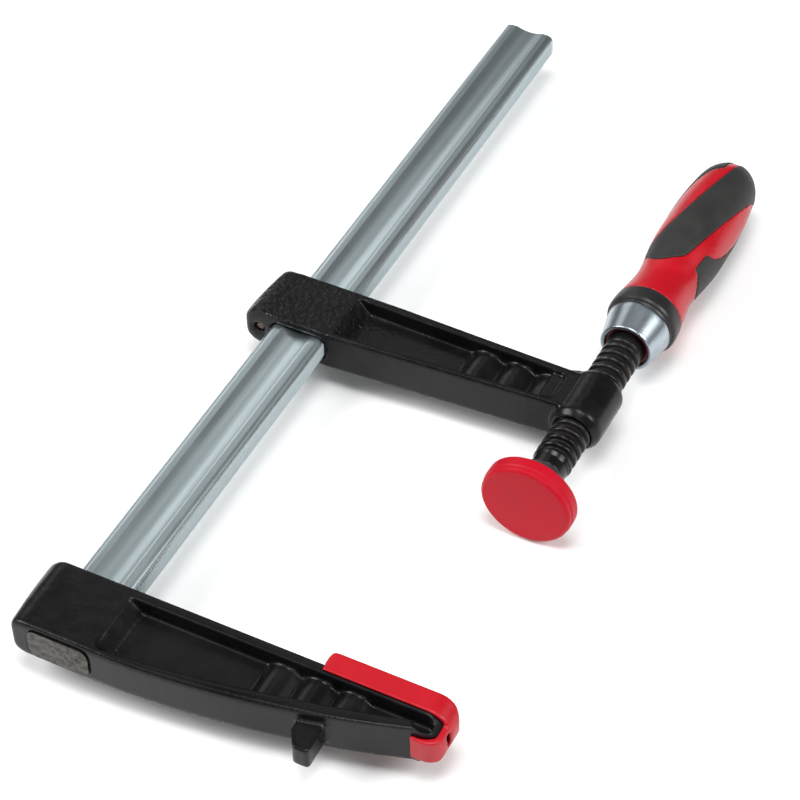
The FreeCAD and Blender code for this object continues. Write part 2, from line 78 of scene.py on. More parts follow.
# %% Set the camera
mm = 0.001
view_azimuth, view_elevation = math.radians(26.4), math.radians(47.1)
back = Vector((math.sin(view_azimuth) * math.cos(view_elevation),
               -math.cos(view_azimuth) * math.cos(view_elevation), math.sin(view_elevation)))
camera = bpy.data.objects.new("camera", bpy.data.cameras.new("camera"))
bpy.context.scene.collection.objects.link(camera)
camera.location = Vector((244.4, -456.2, 668.0)) * mm
camera.rotation_mode = "QUATERNION"
camera.rotation_quaternion = (-back).to_track_quat("-Z", "Y")
camera.data.sensor_width, camera.data.lens = 36.0, 115.2
camera.data.shift_x, camera.data.shift_y = -0.065, 0.081
camera.data.clip_start, camera.data.clip_end = 0.01, 50.0
bpy.context.scene.camera = camera
print("camera stands", [round(v, 3) for v in camera.location])

# %% [markdown]
# ## Node helper
# A material or a geometry tree is a list of nodes and wires. One small helper adds a node, sets its
# choices, and fills each input either with a number or with a wire from another node.

# %% Helper for nodes
def put(tree, kind, feeds=None, **choices):
    n = tree.nodes.new(kind)
    for key, value in choices.items():
        setattr(n, key, value)
    for key, value in (feeds or {}).items():
        if isinstance(value, bpy.types.NodeSocket):
            tree.links.new(value, n.inputs[key])
        else:
            n.inputs[key].default_value = value
    return n


def math_node(tree, what, a, b=0.0, c=None, clamp=False):
    feeds = {0: a, 1: b}
    if c is not None:
        feeds[2] = c
    return put(tree, "ShaderNodeMath", feeds, operation=what, use_clamp=clamp).outputs[0]


def open_group(name, kind, inputs, outputs):
    """A node group with named inputs (label, socket type, value) and outputs (label, socket type)."""
    g = bpy.data.node_groups.new(name, kind)
    for label, sort, value in inputs:
        s = g.interface.new_socket(label, in_out="INPUT", socket_type=sort)
        if value is not None:
            s.default_value = value
    for label, sort in outputs:
        g.interface.new_socket(label, in_out="OUTPUT", socket_type=sort)
    return g, g.nodes.new("NodeGroupInput").outputs, g.nodes.new("NodeGroupOutput").inputs

# %% [markdown]
# ## Shared surface effects
# Real surfaces are never even. Each effect that more than one finish needs is a group, built once:
# a wavy cast skin, rolled streaks, handling scratches, fine moulded grain, worn edges and dust.
# All of them read Object coordinates, so the pattern stays on the piece when a joint moves.

# %% Group: cast skin
def noise(tree, vector, scale, detail=2.0, roughness=0.5):
    return put(tree, "ShaderNodeTexNoise", {"Vector": vector, "Scale": scale, "Detail": detail,
                                            "Roughness": roughness}).outputs["Fac"]


def ramp(tree, value, low, high, to_low=0.0, to_high=1.0):
    return put(tree, "ShaderNodeMapRange", {"Value": value, "From Min": low, "From Max": high,
                                            "To Min": to_low, "To Max": to_high},
               interpolation_type="SMOOTHSTEP").outputs["Result"]


def stretched(tree, scale, turn=(0.0, 0.0, 0.0)):
    place = put(tree, "ShaderNodeTexCoord").outputs["Object"]
    return put(tree, "ShaderNodeMapping", {"Vector": place, "Scale": scale, "Rotation": turn}).outputs[0]


number = "NodeSocketFloat"
cast_skin, gi, go = open_group("cast_skin", "ShaderNodeTree",
    [("Ripple", number, 0.5), ("Grain", number, 0.5), ("Ripple Scale", number, 300.0)],
    [("Height", number), ("Tone", number)])
place = stretched(cast_skin, (1, 1, 1))
ripple = noise(cast_skin, place, gi["Ripple Scale"], 2.0, 0.45)
grain = noise(cast_skin, place, 1700.0, 3.0, 0.6)
ripple_part = math_node(cast_skin, "MULTIPLY", ripple, gi["Ripple"])
cast_skin.links.new(math_node(cast_skin, "MULTIPLY_ADD", grain, gi["Grain"], ripple_part), go["Height"])
cast_skin.links.new(noise(cast_skin, place, 60.0, 3.0, 0.6), go["Tone"])
print("group", cast_skin.name)

# %% Group: rolled streaks
rolled_streaks, gi, go = open_group("rolled_streaks", "ShaderNodeTree",
    [("Spread", number, 0.5)], [("Streak", number), ("Blotch", number)])
fine = noise(rolled_streaks, stretched(rolled_streaks, (900, 14, 900)), 1.0, 3.0, 0.6)
wide = noise(rolled_streaks, stretched(rolled_streaks, (160, 6, 160)), 1.0, 2.0, 0.5)
both = put(rolled_streaks, "ShaderNodeMix", {"Factor": gi["Spread"], 2: fine, 3: wide},
           data_type="FLOAT").outputs[0]
rolled_streaks.links.new(both, go["Streak"])
rolled_streaks.links.new(noise(rolled_streaks, stretched(rolled_streaks, (45, 30, 45)), 1.0, 4.0, 0.6),
                         go["Blotch"])
print("group", rolled_streaks.name)

# %% Group: handling scratches
handling_scratches, gi, go = open_group("handling_scratches", "ShaderNodeTree",
    [("Amount", number, 0.3)], [("Mask", number)])
marks = []
for turn, size in (((0, 0, 0.5), (2600, 60, 90)), ((0, 0, -0.8), (2200, 50, 90)),
                   ((0, 0, 1.9), (3000, 80, 90))):
    line = noise(handling_scratches, stretched(handling_scratches, size, turn), 1.0, 1.0, 0.4)
    marks.append(ramp(handling_scratches, line, 0.70, 0.76))
some = math_node(handling_scratches, "MAXIMUM", marks[0],
                 math_node(handling_scratches, "MAXIMUM", marks[1], marks[2]))
patches = noise(handling_scratches, stretched(handling_scratches, (35, 35, 35)), 1.0)
shown = math_node(handling_scratches, "MULTIPLY", some, ramp(handling_scratches, patches, 0.4, 0.7))
handling_scratches.links.new(math_node(handling_scratches, "MULTIPLY", shown, gi["Amount"]), go["Mask"])
print("group", handling_scratches.name)

# %% Group: worn edges
worn_edges, gi, go = open_group("worn_edges", "ShaderNodeTree",
    [("Start", number, 0.53), ("Full", number, 0.60), ("Amount", number, 0.5)], [("Mask", number)])
bend = put(worn_edges, "ShaderNodeNewGeometry").outputs["Pointiness"]
edge = put(worn_edges, "ShaderNodeMapRange", {"Value": bend, "From Min": gi["Start"],
                                              "From Max": gi["Full"]}).outputs["Result"]
patch = ramp(worn_edges, noise(worn_edges, stretched(worn_edges, (1, 1, 1)), 240.0, 4.0, 0.65), 0.42, 0.62)
bare = math_node(worn_edges, "MULTIPLY", edge, patch)
worn_edges.links.new(math_node(worn_edges, "MULTIPLY", bare, gi["Amount"], clamp=True), go["Mask"])
print("group", worn_edges.name)

# %% Group: moulded grain
moulded_grain, gi, go = open_group("moulded_grain", "ShaderNodeTree",
    [("Scale", number, 2600.0)], [("Height", number), ("Tone", number)])
place = stretched(moulded_grain, (1, 1, 1))
moulded_grain.links.new(noise(moulded_grain, place, gi["Scale"], 2.0, 0.5), go["Height"])
moulded_grain.links.new(noise(moulded_grain, place, 90.0, 3.0, 0.6), go["Tone"])
print("group", moulded_grain.name)

# %% Group: dust
dust, gi, go = open_group("dust", "ShaderNodeTree", [("Amount", number, 0.2)], [("Mask", number)])
place = stretched(dust, (1, 1, 1))
film = ramp(dust, noise(dust, place, 130.0, 5.0, 0.65), 0.45, 0.8)
speck = ramp(dust, put(dust, "ShaderNodeTexVoronoi", {"Vector": place, "Scale": 320.0}).outputs["Distance"],
             0.10, 0.05)
seen = ramp(dust, noise(dust, place, 55.0, 1.0), 0.52, 0.68)
spots = math_node(dust, "MULTIPLY", speck, seen)
dust.links.new(math_node(dust, "MULTIPLY", math_node(dust, "MULTIPLY_ADD", film, 0.5, spots), gi["Amount"],
                         clamp=True), go["Mask"])
print("group", dust.name)

# %% [markdown]
# ## Finishes
# Each finish is one material. Its even values, such as gloss or metal, are set on the Principled
# shader. What changes over the surface comes from the groups, through colour, roughness and bump.

# %% Helper for finishes
def finish(name, **even):
    """A material with the values that are even all over."""
    m = bpy.data.materials.new(name + "_finish")
    m.use_nodes = True
    shader = m.node_tree.nodes["Principled BSDF"]
    for key, value in even.items():
        shader.inputs[key.replace("_", " ")].default_value = value
    return m, m.node_tree, shader


def group(tree, which, **values):
    n = tree.nodes.new("ShaderNodeGroup")
    n.node_tree = which
    for key, value in values.items():
        n.inputs[key.replace("_", " ")].default_value = value
    return n.outputs


def blend_colour(tree, mask, a, b):
    return put(tree, "ShaderNodeMix", {"Factor": mask, 6: a, 7: b}, data_type="RGBA").outputs[2]


def bump(tree, shader, height, distance):
    n = put(tree, "ShaderNodeBump", {"Height": height, "Distance": distance, "Strength": 1.0})
    tree.links.new(n.outputs["Normal"], shader.inputs["Normal"])

# %% Finish: zinc-plated rolled steel
def zinc(name, base, dark, rough, streak_bump=0.00003, dull_below=None):
    """dull_below is the Y under which the metal is sheared, darker and rougher, as on the rail's staked head.
    """
    m, tree, shader = finish(name, Metallic=1.0)
    roll = group(tree, rolled_streaks, Spread=0.35)
    marks = group(tree, handling_scratches, Amount=0.25)["Mask"]
    tone = ramp(tree, roll["Streak"], 0.25, 0.75)
    cloud = ramp(tree, roll["Blotch"], 0.30, 0.70)
    c = blend_colour(tree, tone, dark, base)
    bluish = (base[0] * 0.94, base[1] * 0.99, base[2] * 1.03, 1)
    c = blend_colour(tree, math_node(tree, "MULTIPLY", cloud, 0.20), c, bluish)
    c = blend_colour(tree, marks, c, (0.80, 0.83, 0.84, 1))
    r = math_node(tree, "MULTIPLY_ADD", cloud, 0.04, rough - 0.02)
    r = math_node(tree, "MULTIPLY_ADD", tone, -0.04, r)
    if dull_below is not None:
        place = put(tree, "ShaderNodeTexCoord").outputs["Object"]
        along = put(tree, "ShaderNodeSeparateXYZ", {0: place}).outputs["Y"]
        head = ramp(tree, along, dull_below, dull_below - 0.0008)
        # painted shade: the tooth valleys on the rail's narrow edges are darkened in colour
        valley = put(tree, "ShaderNodeAttribute", attribute_name="tooth_valley").outputs["Fac"]
        c = blend_colour(tree, math_node(tree, "MULTIPLY", valley, 0.5), c, (0.10, 0.11, 0.10, 1))
        # the staked head is made darker and rougher, mottled between two dark greys
        head_mottle = ramp(tree, noise(tree, place, 420.0, 4.0, 0.65), 0.35, 0.65)
        head_colour = blend_colour(tree, head_mottle, (0.055, 0.052, 0.048, 1), (0.13, 0.125, 0.115, 1))
        c = blend_colour(tree, head, c, head_colour)
        r = math_node(tree, "MULTIPLY_ADD", head, 0.22, r)
    tree.links.new(c, shader.inputs["Base Color"])
    tree.links.new(r, shader.inputs["Roughness"])
    bump(tree, shader, roll["Streak"], streak_bump)
    return m


head_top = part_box("fixed_arm")[0].y + 0.0032
zinc_rail = zinc("zinc_rail", (0.52, 0.60, 0.62, 1), (0.42, 0.49, 0.51, 1), 0.34, dull_below=head_top)
zinc_ferrule = zinc("zinc_ferrule", (0.42, 0.48, 0.52, 1), (0.35, 0.40, 0.44, 1), 0.31, 0.00001)
print("finishes", zinc_rail.name, zinc_ferrule.name)

# %% Finish: painted cast iron
calm_from, calm_to = -0.098, -0.075          # the ripple dies away along the arm between these X


def cast_paint(name, ripple, ripple_scale, ripple_depth):
    m, tree, shader = finish(name, Specular_IOR_Level=0.22)
    skin = group(tree, cast_skin, Ripple=ripple, Grain=0.10, Ripple_Scale=ripple_scale)
    worn = group(tree, worn_edges, Start=0.56, Full=0.66, Amount=0.20)["Mask"]
    dusty = group(tree, dust, Amount=0.04)["Mask"]
    normal = put(tree, "ShaderNodeTexCoord").outputs["Normal"]
    facing = put(tree, "ShaderNodeSeparateXYZ", {0: normal}).outputs["Z"]
    broad = ramp(tree, math_node(tree, "ABSOLUTE", facing), 0.35, 0.85, 0.15, 1.0)
    place = put(tree, "ShaderNodeTexCoord").outputs["Object"]
    across = put(tree, "ShaderNodeSeparateXYZ", {0: place}).outputs["X"]
    broad = math_node(tree, "MULTIPLY", broad, ramp(tree, across, calm_from, calm_to, 1.0, 0.18))
    c = blend_colour(tree, ramp(tree, skin["Tone"], 0.3, 0.7),
                     (0.0036, 0.0034, 0.0038, 1), (0.0058, 0.0055, 0.0062, 1))
    c = blend_colour(tree, worn, c, (0.045, 0.045, 0.047, 1))
    c = blend_colour(tree, dusty, c, (0.10, 0.095, 0.09, 1))
    tree.links.new(c, shader.inputs["Base Color"])
    r = ramp(tree, skin["Tone"], 0.25, 0.75, 0.22, 0.32)
    tree.links.new(math_node(tree, "MULTIPLY_ADD", dusty, 0.5, r), shader.inputs["Roughness"])
    bump(tree, shader, math_node(tree, "MULTIPLY", skin["Height"], broad), ripple_depth)
    return m


black_casting = cast_paint("black_casting", 0.7, 300.0, 0.00022)
black_casting_slider = cast_paint("black_casting_slider", 1.0, 520.0, 0.00060)
print("finishes", black_casting.name, black_casting_slider.name)

# %% Finish: moulded red plastic
def red_mould(name, base, deep, rough, gloss=0.35, shaded_below=None):
    """shaded_below is the Y under which the plastic is painted dark, as painted shade in the handle's mouth.
    """
    m, tree, shader = finish(name, Specular_IOR_Level=gloss)
    skin = group(tree, moulded_grain, Scale=2400.0)
    rub = group(tree, handling_scratches, Amount=0.06)["Mask"]
    worn = group(tree, worn_edges, Start=0.56, Full=0.66, Amount=0.20)["Mask"]
    c = blend_colour(tree, ramp(tree, skin["Tone"], 0.3, 0.7), deep, base)
    c = blend_colour(tree, rub, c, (base[0] * 1.05, base[1] + 0.03, base[2] + 0.03, 1))
    c = blend_colour(tree, worn, c, (base[0] * 1.05, base[1] + 0.05, base[2] + 0.05, 1))
    if shaded_below is not None:
        place = put(tree, "ShaderNodeTexCoord").outputs["Object"]
        along = put(tree, "ShaderNodeSeparateXYZ", {0: place}).outputs["Y"]
        # painted shade: the red inside the ferrule's mouth is darkened towards near black
        mouth_shade = ramp(tree, along, shaded_below, shaded_below - 0.001)
        c = blend_colour(tree, mouth_shade, c, (0.09, 0.001, 0.004, 1))
    tree.links.new(c, shader.inputs["Base Color"])
    r = ramp(tree, skin["Tone"], 0.3, 0.7, rough - 0.04, rough + 0.05)
    tree.links.new(math_node(tree, "MULTIPLY_ADD", rub, 0.3, r), shader.inputs["Roughness"])
    bump(tree, shader, skin["Height"], 0.00001)
    return m


red_plastic = red_mould("red_plastic", (0.42, 0.0015, 0.010, 1), (0.38, 0.0015, 0.008, 1), 0.34)
red_pad = red_mould("red_pad", (0.44, 0.002, 0.014, 1), (0.40, 0.002, 0.012, 1), 0.42, gloss=0.16)
red_handle = red_mould("red_handle", (0.42, 0.0015, 0.010, 1), (0.38, 0.0015, 0.008, 1), 0.32,
                       shaded_below=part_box("ferrule")[1].y - 0.001)
print("finishes", red_plastic.name, red_pad.name, red_handle.name)

# %% Finish: soft rubber and the black collar
def soft_black(name, base, deep, rough, grain, scale):
    m, tree, shader = finish(name, Specular_IOR_Level=0.35)
    skin = group(tree, moulded_grain, Scale=scale)
    dusty = group(tree, dust, Amount=0.06)["Mask"]
    worn = group(tree, worn_edges, Start=0.55, Full=0.66, Amount=0.25)["Mask"]
    c = blend_colour(tree, ramp(tree, skin["Tone"], 0.3, 0.7), deep, base)
    c = blend_colour(tree, worn, c, (base[0] * 2.2, base[1] * 2.2, base[2] * 2.2, 1))
    c = blend_colour(tree, dusty, c, (0.16, 0.155, 0.15, 1))
    tree.links.new(c, shader.inputs["Base Color"])
    r = ramp(tree, skin["Tone"], 0.3, 0.7, rough - 0.05, rough + 0.06)
    tree.links.new(math_node(tree, "MULTIPLY_ADD", dusty, 0.3, r), shader.inputs["Roughness"])
    bump(tree, shader, skin["Height"], grain)
    return m


soft_grip = soft_black("soft_grip", (0.021, 0.021, 0.020, 1), (0.016, 0.016, 0.016, 1), 0.54, 0.00004, 2200.0)
black_collar = soft_black("black_collar", (0.016, 0.016, 0.017, 1), (0.011, 0.011, 0.012, 1), 0.40,
                          0.00002, 2600.0)
print("finishes", soft_grip.name, black_collar.name)

# %% Finish: black oxide steel, with painted shade in the thread
black_oxide_steel, tree, shader = finish("black_oxide_steel", Metallic=0.85)
roots = put(tree, "ShaderNodeAttribute", attribute_name="thread_root").outputs["Fac"]
skin = group(tree, cast_skin, Ripple=0.3, Grain=0.4, Ripple_Scale=420.0)
worn = group(tree, worn_edges, Start=0.53, Full=0.62, Amount=0.5)["Mask"]
c = blend_colour(tree, ramp(tree, skin["Tone"], 0.3, 0.7), (0.020, 0.019, 0.020, 1), (0.036, 0.035, 0.036, 1))
c = blend_colour(tree, worn, c, (0.22, 0.22, 0.23, 1))
# painted shade: the thread roots are darkened to near black, and their roughness is raised
root_shade = math_node(tree, "MULTIPLY", roots, ramp(tree, skin["Tone"], 0.35, 0.6, 0.25, 0.9))
c = blend_colour(tree, root_shade, c, (0.010, 0.007, 0.004, 1))
tree.links.new(c, shader.inputs["Base Color"])
tree.links.new(math_node(tree, "MULTIPLY_ADD", root_shade, 0.35, ramp(tree, skin["Tone"], 0.3, 0.7, 0.24, 0.32)),
               shader.inputs["Roughness"])
bump(tree, shader, skin["Height"], 0.00004)
print("finish", black_oxide_steel.name)

# %% Finishes: pin, plate and snap ring
def bare_steel(name, base, dark, rough):
    m, tree, shader = finish(name, Metallic=1.0)
    skin = group(tree, cast_skin, Ripple=0.2, Grain=0.3, Ripple_Scale=500.0)
    marks = group(tree, handling_scratches, Amount=0.5)["Mask"]
    c = blend_colour(tree, ramp(tree, skin["Tone"], 0.3, 0.7), dark, base)
    c = blend_colour(tree, marks, c, (0.85, 0.84, 0.82, 1))
    tree.links.new(c, shader.inputs["Base Color"])
    tree.links.new(ramp(tree, skin["Tone"], 0.3, 0.7, rough - 0.05, rough + 0.08), shader.inputs["Roughness"])
    bump(tree, shader, skin["Height"], 0.00002)
    return m


hardened_pin = bare_steel("hardened_pin", (0.16, 0.12, 0.10, 1), (0.09, 0.07, 0.06, 1), 0.45)
dark_plate = bare_steel("dark_plate", (0.14, 0.14, 0.145, 1), (0.08, 0.08, 0.085, 1), 0.38)
spring_wire = bare_steel("spring_wire", (0.45, 0.45, 0.46, 1), (0.30, 0.30, 0.31, 1), 0.25)
print("finishes", hardened_pin.name, dark_plate.name, spring_wire.name)

# %% [markdown]
# ## Soft-edged castings and mouldings
# Cast iron and moulded plastic have no sharp edges: sand and paint, or the mould, round them. The
# frame's solids are sharp, so each such piece starts as a copy of its solid, is rebuilt as an even
# skin of small squares, and is then smoothed by moving every point a little towards its neighbours.
# Flat faces stay where they are and only edges give way. Places that the maker rounded more, such
# as the back of an arm, get more passes.

# %% Helpers for soft-edged pieces
def new_piece(name, mesh):
    ob = bpy.data.objects.new(name, mesh)
    bpy.context.scene.collection.objects.link(ob)
    return ob


def plain_mesh(ob, name):
    """The evaluated object as a plain mesh, with no modifier left on it."""
    bpy.context.view_layer.update()
    seen = ob.evaluated_get(bpy.context.evaluated_depsgraph_get())
    mesh = bpy.data.meshes.new_from_object(seen)
    mesh.name = name
    bpy.data.objects.remove(ob)
    return mesh


def skin_of(node, name, square):
    """The node's solid as an even skin of squares."""
    mesh = nodes[node].data.copy()
    bm = bmesh.new()
    bm.from_mesh(mesh)
    bmesh.ops.remove_doubles(bm, verts=bm.verts, dist=0.000002)
    bm.to_mesh(mesh)
    bm.free()
    ob = new_piece(name + "_start", mesh)
    m = ob.modifiers.new("even_skin", "REMESH")
    m.mode, m.voxel_size, m.adaptivity = "VOXEL", square, 0.0
    return plain_mesh(ob, name)


def ease(mesh, passes, strength=None):
    """Moves each point towards the middle of its neighbours. strength(points) gives 0 to 1 for each."""
    n = len(mesh.vertices)
    co = np.empty(n * 3, np.float32)
    mesh.vertices.foreach_get("co", co)
    co = co.reshape(n, 3).astype(float)
    pair = np.empty(len(mesh.edges) * 2, np.int32)
    mesh.edges.foreach_get("vertices", pair)
    a, b = pair.reshape(-1, 2).T
    count = np.maximum(np.bincount(a, minlength=n) + np.bincount(b, minlength=n), 1)
    share = np.full(n, 0.5) if strength is None else 0.5 * strength(co)
    for _ in range(passes):
        total = [np.bincount(a, co[b, k], n) + np.bincount(b, co[a, k], n) for k in range(3)]
        co += (np.stack(total, 1) / count[:, None] - co) * share[:, None]
    mesh.vertices.foreach_set("co", co.astype(np.float32).ravel())
    mesh.update()


def dress(mesh, name, node, material, sharp=None):
    """Makes the finished piece: its shading and its material; hangs it on its body and hides the node that it
    stands for.
    """
    mesh.materials.clear()
    mesh.materials.append(material)
    mesh.polygons.foreach_set("use_smooth", [True] * len(mesh.polygons))
    if sharp:
        mesh.set_sharp_from_angle(angle=math.radians(sharp))
    ob = new_piece(name, mesh)
    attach(ob, body_of_node[node])
    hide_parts(node)
    print(name, "faces", len(mesh.polygons), "on", body_of_node[node])


def between(low, high, v):
    """0 where v is at low, 1 where it is at high, and an even swing from one to the other."""
    t = np.clip((v - low) / (high - low), 0.0, 1.0)
    return t * t * (3.0 - 2.0 * t)

# %% Fixed arm
casting_square = 0.00048
jaw_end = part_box("fixed_arm")[1]


def back_edges(co):
    """The two long edges of the arm's back, above and below its middle."""
    behind = between(jaw_end.y - 0.018, jaw_end.y - 0.024, co[:, 1])
    return behind * between(0.0045, 0.0065, np.abs(co[:, 2]))


def fixed_heel(co):
    """The end of the arm past the rail."""
    return between(jaw_end.x - 0.147, jaw_end.x - 0.151, co[:, 0])


mesh = skin_of("fixed_arm", "fixed_arm_casting", casting_square)
ease(mesh, 5)
ease(mesh, 24, back_edges)
ease(mesh, 18, fixed_heel)
dress(mesh, "fixed_arm_casting", "fixed_arm", black_casting)

# %% Sliding arm
heel_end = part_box("sliding_arm")[0].x


def sliding_heel(co):
    return between(heel_end + 0.013, heel_end + 0.009, co[:, 0])


mesh = skin_of("sliding_arm", "sliding_arm_casting", casting_square)
ease(mesh, 6)
ease(mesh, 18, sliding_heel)
dress(mesh, "sliding_arm_casting", "sliding_arm", black_casting_slider)

# %% Cap over the fixed jaw
mesh = skin_of("fixed_jaw_cap", "fixed_jaw_cover", 0.00030)
ease(mesh, 14)
dress(mesh, "fixed_jaw_cover", "fixed_jaw_cap", red_plastic)

# %% Handle core and soft zones
mesh = skin_of("handle_core", "handle_red_core", 0.00040)
ease(mesh, 3)
dress(mesh, "handle_red_core", "handle_core", red_handle)
mesh = skin_of("handle_grip", "handle_soft_zones", 0.00034)
ease(mesh, 4)
dress(mesh, "handle_soft_zones", "handle_grip", soft_grip)

# %% [markdown]
# ## Turned pieces
# The pad's cap, the plate, the ferrule, the collar and the pin are round. On the real clamp they are
# turned, pressed or moulded round one axis. Each but the plate is drawn as half an outline, with small
# arcs at its corners, and turned once round its axis, which for all but the pin is the spindle's.

# %% Helpers for turned pieces
def with_arcs(points, radii, steps=5):
    """The closed outline with an arc of the given radius at each corner (0 keeps it sharp)."""
    out, n = [], len(points)
    for i, (p, r) in enumerate(zip(points, radii)):
        p, a, b = Vector(p), Vector(points[i - 1]), Vector(points[(i + 1) % n])
        u, w = a - p, b - p
        if r <= 0:
            out.append(p)
            continue
        half = u.angle(w) / 2.0
        cut = min(r / math.tan(half), u.length * 0.49, w.length * 0.49)
        s, e = p + u.normalized() * cut, p + w.normalized() * cut
        for k in range(steps + 1):
            t = k / steps
            out.append(s.lerp(p, t).lerp(p.lerp(e, t), t))
    return out


def turned(name, points, radii, around=128, x=0.0):
    """Closed outline of (radius, y) in millimetres, turned round the line at x (in metres) along Y."""
    line = [v * mm for v in with_arcs(points, radii)]
    bm = bmesh.new()
    rings = []
    for v in line:
        if v.x < 1e-7:
            rings.append([bm.verts.new((x, v.y, 0.0))])
            continue
        rings.append([bm.verts.new((x + v.x * math.sin(t), v.y, v.x * math.cos(t)))
                      for t in (2 * math.pi * k / around for k in range(around))])
    for i in range(len(rings)):
        a, b = rings[i - 1], rings[i]
        for k in range(around):
            quad = [a[k % len(a)], a[(k + 1) % len(a)], b[(k + 1) % len(b)], b[k % len(b)]]
            corner = list(dict.fromkeys(quad))
            if len(corner) > 2:
                bm.faces.new(corner)
    bmesh.ops.remove_doubles(bm, verts=bm.verts, dist=1e-7)
    bmesh.ops.recalc_face_normals(bm, faces=bm.faces)
    mesh = bpy.data.meshes.new(name)
    bm.to_mesh(mesh)
    bm.free()
    return mesh

# %% Cap of the pad
low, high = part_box("pressure_plate_cap")
face_y, back_y, rim, lip, wall = low.y / mm, high.y / mm, high.x / mm, 2.9, 1.3
outline = [(0, face_y), (rim - 1.4, face_y), (rim - 0.35, face_y + 0.9), (rim - 0.35, face_y + 2.4),
           (rim, face_y + 2.9), (rim, back_y - 0.9), (rim - 1.0, back_y), (rim - lip, back_y),
           (rim - lip, back_y - wall), (0, back_y - wall)]
mesh = turned("pad_cover", outline, [0, 0.6, 0.8, 0.25, 0.3, 0.7, 0.3, 0.3, 0.2, 0])
dress(mesh, "pad_cover", "pressure_plate_cap", red_pad, sharp=50)

# %% Ferrule and collar
low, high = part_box("ferrule")
m0, m1, wide_r, mouth_r = low.y / mm, high.y / mm, high.x / mm, 10.5
outline = [(mouth_r - 1.9, m0 + 1.3), (mouth_r - 1.5, m0), (mouth_r - 0.1, m0),
           (mouth_r + 0.15, m0 + 1.5), (wide_r - 0.2, m1 - 1.9), (wide_r, m1 - 0.8), (wide_r, m1),
           (wide_r - 1.0, m1), (mouth_r - 1.0, m0 + 1.6)]
mesh = turned("ferrule_sleeve", outline, [0.3, 0.7, 0.7, 0.8, 0.8, 0.3, 0.1, 0.0, 0.3])
dress(mesh, "ferrule_sleeve", "ferrule", zinc_ferrule, sharp=50)
low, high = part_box("handle_collar")
c0, c1, cr, bore_r = low.y / mm, high.y / mm, high.x / mm, 11.55
outline = [(bore_r, c0), (cr - 1.5, c0), (cr - 1.1, c0 + 1.2), (cr - 0.45, c0 + 1.5), (cr, c0 + 2.6),
           (cr, c0 + 4.6), (cr - 0.25, c1 - 0.3), (cr - 0.6, c1), (bore_r, c1)]
mesh = turned("collar_ring", outline, [0, 0.5, 0.15, 0.3, 0.9, 0.8, 0.5, 0.3, 0])
dress(mesh, "collar_ring", "handle_collar", black_collar, sharp=50)

# %% Grip pin
low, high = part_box("grip_pin")
pin_x, pin_r = (low.x + high.x) / 2, (high.x - low.x) / 2 / mm
p0, p1 = low.y / mm, high.y / mm
outline = [(0, p0), (pin_r - 0.9, p0), (pin_r, p0 + 0.8), (pin_r, p1), (0, p1)]
mesh = turned("grip_pin_round", outline, [0, 0.5, 0.5, 0.1, 0], around=64, x=pin_x)
dress(mesh, "grip_pin_round", "grip_pin", hardened_pin, sharp=50)

# %% [markdown]
# ## Rail
# The rail is cold-rolled flat steel with a shallow hollow along each broad face and fine teeth across
# both narrow edges, which the sliding arm bites on. Its shape follows a rule: one profile, repeated
# along the length, with every second row of points set in on the narrow edges. That is work for
# Geometry Nodes: a grid is wrapped round the profile and the rule moves its points.

# %% Helpers for geometry trees
def gn(tree, kind, feeds=None, **choices):
    return put(tree, kind, feeds, **choices).outputs


def split(tree, vector):
    return gn(tree, "ShaderNodeSeparateXYZ", {0: vector})


def join3(tree, x, y, z):
    return gn(tree, "ShaderNodeCombineXYZ", {0: x, 1: y, 2: z})[0]


def map_range(tree, value, low, high, kind="LINEAR"):
    return gn(tree, "ShaderNodeMapRange", {"Value": value, "From Min": low, "From Max": high},
              interpolation_type=kind)["Result"]


def run_tree(name, tree, start_mesh, values):
    """Runs a geometry tree on start_mesh with its named inputs set, and returns the plain mesh."""
    ob = new_piece(name + "_start", start_mesh)
    m = ob.modifiers.new("rule", "NODES")
    m.node_group = tree
    for item in tree.interface.items_tree:
        if item.item_type == "SOCKET" and item.in_out == "INPUT" and item.name in values:
            m[item.identifier] = values[item.name]
    return plain_mesh(ob, name)


def outline_mesh(name, points, closed):
    mesh = bpy.data.meshes.new(name)
    n = len(points)
    lines = [(i, (i + 1) % n) for i in range(n if closed else n - 1)]
    mesh.from_pydata([tuple(p) for p in points], lines, [])
    return mesh

# %% The rail's tree
rail_tree, gi, go = open_group("rail_rule", "GeometryNodeTree",
    [("Profile", "NodeSocketGeometry", None), ("Around", "NodeSocketInt", 120),
     ("Rows", "NodeSocketInt", 600), ("First", number, 0.0), ("Last", number, 0.3),
     ("Middle", number, -0.111), ("Half Width", number, 0.011),
     ("Half Thickness", number, 0.00525), ("Corner", number, 0.003), ("Tooth Depth", number, 0.00025),
     ("Chamfer", number, 0.0008), ("Head Depth", number, 0.002), ("Head Grow", number, 0.0011),
     ("Finish", "NodeSocketMaterial", None)],
    [("Rail", "NodeSocketGeometry")])
rail_tree.is_modifier = True
t = rail_tree
curve = gn(t, "GeometryNodeMeshToCurve", {"Mesh": gi["Profile"]})["Curve"]
grid = gn(t, "GeometryNodeMeshGrid", {"Size X": 1.0, "Size Y": 1.0, "Vertices X": gi["Around"],
                                      "Vertices Y": gi["Rows"]})["Mesh"]
spot = split(t, gn(t, "GeometryNodeInputPosition")[0])
last_row = math_node(t, "SUBTRACT", gi["Rows"], 1.0)
row = math_node(t, "ROUND", math_node(t, "MULTIPLY", math_node(t, "ADD", spot[1], 0.5), last_row))
along = map_range(t, row, 1.0, math_node(t, "SUBTRACT", last_row, 1.0))
y = gn(t, "ShaderNodeMapRange", {"Value": along, "To Min": gi["First"], "To Max": gi["Last"]})["Result"]
sample = gn(t, "GeometryNodeSampleCurve", {"Curves": curve, "Factor": math_node(t, "ADD", spot[0], 0.5)},
            mode="FACTOR", use_all_curves=True)
edge_spot = split(t, sample["Position"])
x = math_node(t, "SUBTRACT", edge_spot[0], gi["Middle"])
z = edge_spot[2]
side_x, side_z = math_node(t, "SIGN", x), math_node(t, "SIGN", z)
far_x = math_node(t, "ABSOLUTE", x)
